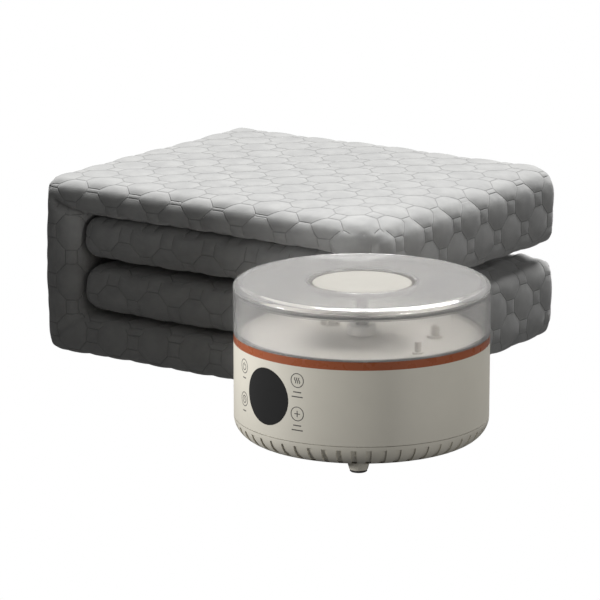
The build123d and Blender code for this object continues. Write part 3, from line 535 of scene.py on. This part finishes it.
def from_lattice(tree, total, difference, u, v):
    """Distances across and along from a lattice point, from its two diagonal numbers."""
    centre_u = maths(tree, "MULTIPLY", maths(tree, "ADD", total, difference), 0.5)
    centre_v = maths(tree, "MULTIPLY", maths(tree, "SUBTRACT", total, difference), 0.5)
    across = maths(tree, "ABSOLUTE", maths(tree, "SUBTRACT", u, centre_u))
    along = maths(tree, "ABSOLUTE", maths(tree, "SUBTRACT", v, centre_v))
    return across, along


def stitch_distance(tree):
    """Distance from the nearest stitch, in periods, from the pattern's own coordinates."""
    pattern = tree.nodes.new("ShaderNodeUVMap")
    pattern.uv_map = "pattern"
    parts = tree.nodes.new("ShaderNodeSeparateXYZ")
    tree.links.new(pattern.outputs["UV"], parts.inputs["Vector"])
    u, v = parts.outputs["X"], parts.outputs["Y"]
    total, difference = maths(tree, "ADD", u, v), maths(tree, "SUBTRACT", u, v)
    du, dv = from_lattice(tree, maths(tree, "ROUND", total), maths(tree, "ROUND", difference), u, v)
    flat = (1 - SQUARE / PERIOD) / 2
    slope = maths(tree, "SUBTRACT", maths(tree, "SUBTRACT", 0.5, du), dv)
    straight = maths(tree, "SUBTRACT", flat, maths(tree, "MAXIMUM", du, dv))
    octagon = maths(tree, "MINIMUM", maths(tree, "MULTIPLY", slope, 1 / math.sqrt(2)), straight)
    half_total = maths(tree, "ADD", maths(tree, "FLOOR", total), 0.5)
    half_difference = maths(tree, "ADD", maths(tree, "FLOOR", difference), 0.5)
    su, sv = from_lattice(tree, half_total, half_difference, u, v)
    square = maths(tree, "SUBTRACT", SQUARE / PERIOD / 2, maths(tree, "MAXIMUM", su, sv))
    return maths(tree, "MAXIMUM", octagon, square)


def fabric():
    """Brushed knit: a mid grey with a fine weave and a soft sheen; its stitch lines are painted darker, as
    painted shade of the stitched furrows.
    """
    found = bpy.data.materials.get("brushed_grey_knit")
    if found:
        return found
    material, tree, bsdf = shader("brushed_grey_knit")
    set_shader(bsdf, Roughness=0.85, Sheen_Weight=0.45, Sheen_Roughness=0.45, Specular_IOR_Level=0.25)
    varied_colour(tree, bsdf, noise(tree, 60.0), FABRIC_DARK, FABRIC_LIGHT)
    shade = bsdf.inputs["Base Color"].links[0].from_socket
    line = tree.nodes.new("ShaderNodeMapRange")
    line.interpolation_type = "SMOOTHSTEP"
    line.inputs["From Max"].default_value = LINE / PERIOD
    tree.links.new(stitch_distance(tree), line.inputs["Value"])
    # painted shade: the colour turns darker along the stitches, as the shade in their furrows
    stitch_shade_mix = tree.nodes.new("ShaderNodeMix")
    stitch_shade_mix.data_type = "RGBA"
    stitch_shade_mix.inputs["A"].default_value = (*STITCH_SHADE_COLOUR, 1)
    tree.links.new(line.outputs["Result"], stitch_shade_mix.inputs["Factor"])
    tree.links.new(shade, stitch_shade_mix.inputs["B"])
    tree.links.new(stitch_shade_mix.outputs["Result"], bsdf.inputs["Base Color"])
    weave = maths(tree, "MULTIPLY", noise(tree, 1400.0, 2.0).outputs["Fac"], 0.25)
    node = tree.nodes.new("ShaderNodeBump")
    node.inputs["Strength"].default_value = 0.6
    node.inputs["Distance"].default_value = 0.0012
    tree.links.new(maths(tree, "ADD", weave, line.outputs["Result"]), node.inputs["Height"])
    tree.links.new(node.outputs["Normal"], bsdf.inputs["Normal"])
    return material


def plastic(name, colour, roughness, grain=0.25, coat=0.0):
    """Moulded plastic with a fine satin texture and slightly uneven gloss."""
    material, tree, bsdf = shader(name)
    set_shader(bsdf, Roughness=roughness, Coat_Weight=coat, Specular_IOR_Level=0.45)
    darker = tuple(c * 0.97 for c in colour)
    varied_colour(tree, bsdf, noise(tree, 25.0), darker, colour)
    varied_gloss(tree, bsdf, noise(tree, 90.0), roughness - 0.05, roughness + 0.05)
    rough_surface(tree, bsdf, noise(tree, 2600.0, 2.0), grain, 0.0002)
    return material


def metal(name, colour, roughness):
    """Metal with a slightly uneven surface."""
    material, tree, bsdf = shader(name)
    set_shader(bsdf, Metallic=1.0, Roughness=roughness)
    varied_colour(tree, bsdf, noise(tree, 300.0), tuple(c * 0.9 for c in colour), colour)
    varied_gloss(tree, bsdf, noise(tree, 500.0), roughness - 0.06, roughness + 0.06)
    return material


def clear_plastic(name, tint, roughness):
    """Clear plastic with a little haze in its surface."""
    material, tree, bsdf = shader(name)
    set_shader(bsdf, Base_Color=tint, Transmission_Weight=0.84, IOR=1.45, Specular_IOR_Level=0.5)
    varied_gloss(tree, bsdf, noise(tree, 40.0), roughness * 0.6, roughness * 1.4)
    return material


def silicone(name, colour):
    """Milky silicone."""
    material, tree, bsdf = shader(name)
    set_shader(bsdf, Transmission_Weight=0.2, IOR=1.41)
    varied_colour(tree, bsdf, noise(tree, 80.0), tuple(c * 0.95 for c in colour), colour)
    varied_gloss(tree, bsdf, noise(tree, 150.0), 0.3, 0.45)
    return material


def board():
    """Green circuit board with a mottled mask."""
    material, tree, bsdf = shader("green_board")
    varied_colour(tree, bsdf, noise(tree, 700.0, 1.0), (0.01, 0.09, 0.03), (0.03, 0.17, 0.06))
    varied_gloss(tree, bsdf, noise(tree, 200.0), 0.35, 0.5)
    return material


def paint_nodes():
    """Makes a finish for each material slot of the CAD nodes, keyed by slot name."""
    cream = plastic("cream_satin", (0.70, 0.665, 0.575), 0.42)
    deck = plastic("cream_deck_gloss", (0.82, 0.79, 0.74), 0.3)
    # painted shade: the disc's cream is about four tenths as bright as the shell's, to hold down the strong
    # overhead light on the lid's top
    disc = plastic("cream_disc_matt_painted_shade", (0.29, 0.277, 0.246), 0.5)
    copper = plastic("copper_brown_trim", (0.36, 0.10, 0.04), 0.28, 0.1, 0.5)
    glass = plastic("black_display", (0.018, 0.018, 0.018), 0.16, 0.0, 1.0)
    black = plastic("black_moulded", (0.02, 0.02, 0.021), 0.45)
    rubber = plastic("dark_rubber", (0.035, 0.033, 0.031), 0.75, 0.4)
    grey = plastic("port_grey", (0.16, 0.16, 0.16), 0.5)
    white = plastic("float_white", (0.85, 0.84, 0.81), 0.4)
    inner = plastic("inner_white", (0.6, 0.6, 0.58), 0.5)
    clear = clear_plastic("clear_wall_plastic", (0.96, 0.95, 0.935), 0.09)
    milky = silicone("milky_silicone", (0.6, 0.6, 0.58))
    seal = silicone("seal_silicone", (0.3, 0.29, 0.28))
    steel = metal("screw_steel", (0.45, 0.45, 0.46), 0.35)
    alloy = metal("cast_alloy", (0.6, 0.6, 0.61), 0.4)
    winding = metal("winding_copper", (0.6, 0.25, 0.12), 0.35)
    finishes = {
        "cream_shell": cream, "cream_deck": deck, "cream_disc": disc, "copper_trim": copper,
        "black_glass": glass, "black_plastic": black, "black_rubber": rubber, "mat_port_grey": grey,
        "float_white": white, "inner_plastic": inner, "clear_tank": clear, "tube_silicone": milky,
        "seal_silicone": seal, "screw_steel": steel, "heater_alloy": alloy, "winding_copper": winding,
        "circuit_board": board(), "quilted_fabric": fabric(), "wadding": fabric(),
    }
    return finishes


def finish_of(material, finishes):
    """The finish for a material that came with the CAD model."""
    name = material.name.split(".")[0] if material else ""
    for slot, finish in finishes.items():
        if name.endswith(slot):
            return finish
    return None


def paint(finishes):
    """Replaces the CAD model's plain materials, slot by slot."""
    missing = set()
    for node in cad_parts:
        obj = bpy.data.objects[node] if node in bpy.data.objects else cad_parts[node]
        for holder in obj.material_slots:
            finish = finish_of(holder.material, finishes)
            if finish:
                holder.material = finish
            else:
                missing.add((node, holder.material.name if holder.material else None))
    if missing:
        print("no finish for", sorted(missing, key=str))


# ======================= printed key symbols =======================

def on_housing(across, up, lift):
    """A point on the housing's front, from millimetres across and above the display's centre."""
    angle = across / HOUSING_R
    radius = HOUSING_R + lift
    local_x, local_y = radius * math.sin(angle), -radius * math.cos(angle)
    cos, sin = math.cos(UNIT_TURN), math.sin(UNIT_TURN)
    x = UNIT_X + local_x * cos - local_y * sin
    y = UNIT_Y + local_x * sin + local_y * cos
    return Vector((x, y, DISPLAY_Z + up)) * MM


def stroke(shape, points, width, closed=False):
    """Adds one printed line of a width along points on the housing."""
    count = len(points)
    rings = []
    for index, point in enumerate(points):
        if closed:
            before, after = points[index - 1], points[(index + 1) % count]
        else:
            before, after = points[max(index - 1, 0)], points[min(index + 1, count - 1)]
        side = Vector((before[1] - after[1], after[0] - before[0])).normalized() * width / 2
        corners = []
        for sign, lift in ((-1, -0.1), (1, -0.1), (1, 0.08), (-1, 0.08)):
            place = on_housing(point[0] + sign * side.x, point[1] + sign * side.y, lift)
            corners.append(shape.verts.new(place))
        rings.append(corners)
    spans = range(count) if closed else range(1, count)
    for index in spans:
        for k in range(4):
            quad = (rings[index - 1][k], rings[index - 1][k - 1], rings[index][k - 1], rings[index][k])
            shape.faces.new(quad)
    if not closed:
        shape.faces.new(rings[0])
        shape.faces.new(list(reversed(rings[-1])))


def arc(centre, radius, start, end, steps):
    """Points along an arc, angles in degrees."""
    angles = [math.radians(start + (end - start) * i / steps) for i in range(steps + 1)]
    return [(centre[0] + radius * math.cos(a), centre[1] + radius * math.sin(a)) for a in angles]


def key_symbol(name, across, up, lines, dashes):
    """A ring with a plain symbol in it, and short dashes below as a label."""
    shape = bmesh.new()
    stroke(shape, arc((across, up), KEY_RING, 0, 360, 48)[:-1], 0.7, closed=True)
    for line in lines:
        stroke(shape, [(across + x, up + y) for x, y in line], 0.75)
    for row, half in enumerate(dashes):
        level = up - 10.5 - 4.2 * row
        stroke(shape, [(across - half, level), (across, level), (across + half, level)], 1.0)
    bmesh.ops.recalc_face_normals(shape, faces=shape.faces)
    piece = linked(name, mesh_from(name, shape))
    piece.data.materials.append(ink())
    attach(piece, "heater_unit")
    return piece


def ink():
    """The dark print of the key symbols."""
    return bpy.data.materials.get("key_print") or plastic("key_print", (0.07, 0.065, 0.06), 0.6, 0.1)


def wave(x, half):
    """A short upright wavy line."""
    return [(x + 0.7 * math.sin(t * math.pi / 4), half * (t / 4 - 1)) for t in range(9)]


def make_symbols():
    """The four round touch keys beside the display."""
    reach = KEY_ANGLE * HOUSING_R
    heat = [wave(-2.0, 2.6), wave(0.0, 2.6), wave(2.0, 2.6)]
    plus = [[(-2.8, 0), (0, 0), (2.8, 0)], [(0, -2.8), (0, 0), (0, 2.8)]]
    power = [arc((0, -0.3), 3.0, 125, 415, 20), [(0, 0.6), (0, 2.0), (0, 3.4)]]
    timer = [arc((0, 0), 3.2, 0, 359, 24), [(0, 2.0), (0, 0), (1.5, -0.8)]]
    key_symbol("key_power", -reach, KEY_HIGH, power, (3.0,))
    key_symbol("key_timer", -reach, KEY_LOW, timer, (3.0,))
    key_symbol("key_heat", reach, KEY_HIGH, heat, (4.0, 5.5))
    key_symbol("key_plus", reach, KEY_LOW, plus, (4.0, 5.5))


# ======================= light and camera =======================

def make_world():
    """A white backdrop for the camera, and a dim even room for the object's light."""
    world = bpy.data.worlds.new("studio")
    bpy.context.scene.world = world
    world.use_nodes = True
    tree = world.node_tree
    room = tree.nodes["Background"]
    room.inputs["Color"].default_value = (1, 1, 1, 1)
    room.inputs["Strength"].default_value = 0.1
    backdrop = tree.nodes.new("ShaderNodeBackground")
    backdrop.inputs["Color"].default_value = (1, 1, 1, 1)
    backdrop.inputs["Strength"].default_value = 1.0
    ray = tree.nodes.new("ShaderNodeLightPath")
    mix = tree.nodes.new("ShaderNodeMixShader")
    tree.links.new(ray.outputs["Is Camera Ray"], mix.inputs["Fac"])
    tree.links.new(room.outputs["Background"], mix.inputs[1])
    tree.links.new(backdrop.outputs["Background"], mix.inputs[2])
    tree.links.new(mix.outputs["Shader"], tree.nodes["World Output"].inputs["Surface"])


def aimed(light, place, target):
    """Puts a light object at a place and points it at a target, in metres."""
    obj = linked(light.name, light)
    obj.location = place
    obj.rotation_mode = "QUATERNION"
    obj.rotation_quaternion = (Vector(target) - Vector(place)).to_track_quat("-Z", "Y")


def spot_on_unit(name, energy, place):
    """A narrow soft lamp on the unit, from a place in metres."""
    lamp = bpy.data.lights.new(name, "SPOT")
    lamp.energy = energy
    lamp.shadow_soft_size = 0.12
    lamp.spot_size = SPOT_SPREAD
    lamp.spot_blend = 0.6
    aimed(lamp, place, Vector((UNIT_X, UNIT_Y, 80)) * MM)


def make_lights():
    """A soft overhead key, a weak side fill and two narrow lamps on the unit."""
    overhead = bpy.data.lights.new("overhead", "SUN")
    overhead.energy = 6.6
    overhead.angle = math.radians(40)
    aimed(overhead, (-0.3, 1.05, 1.8), (0, 0, 0))
    side = bpy.data.lights.new("side_fill", "AREA")
    side.energy = 5.0
    side.size = 1.2
    aimed(side, (1.8, -0.2, 0.7), (0, 0.1, 0.1))
    spot_on_unit("unit_lamp", 57.0, (-0.6, -1.05, 0.32))
    spot_on_unit("unit_rim", 10.0, (1.3, -0.55, 0.3))


def make_camera():
    """A long lens from the front right, a little above the mat."""
    level = math.cos(CAMERA_ELEVATION)
    back = Vector((
        math.sin(CAMERA_AZIMUTH) * level, -math.cos(CAMERA_AZIMUTH) * level, math.sin(CAMERA_ELEVATION),
    ))
    data = bpy.data.cameras.new("camera")
    data.lens = CAMERA_LENS
    data.sensor_width = 36.0
    camera = linked("camera", data)
    camera.location = CAMERA_PLACE
    camera.rotation_mode = "QUATERNION"
    camera.rotation_quaternion = (-back).to_track_quat("-Z", "Y")
    bpy.context.scene.camera = camera


def set_render():
    """Plain colour, and enough bounces for the clear tank."""
    scene = bpy.context.scene
    scene.view_settings.view_transform = "Standard"
    scene.cycles.max_bounces = 12
    scene.cycles.transmission_bounces = 12
    scene.cycles.transparent_max_bounces = 12


make_camera()
make_world()
make_lights()
set_render()
paint(paint_nodes())
make_mat()
make_symbols()
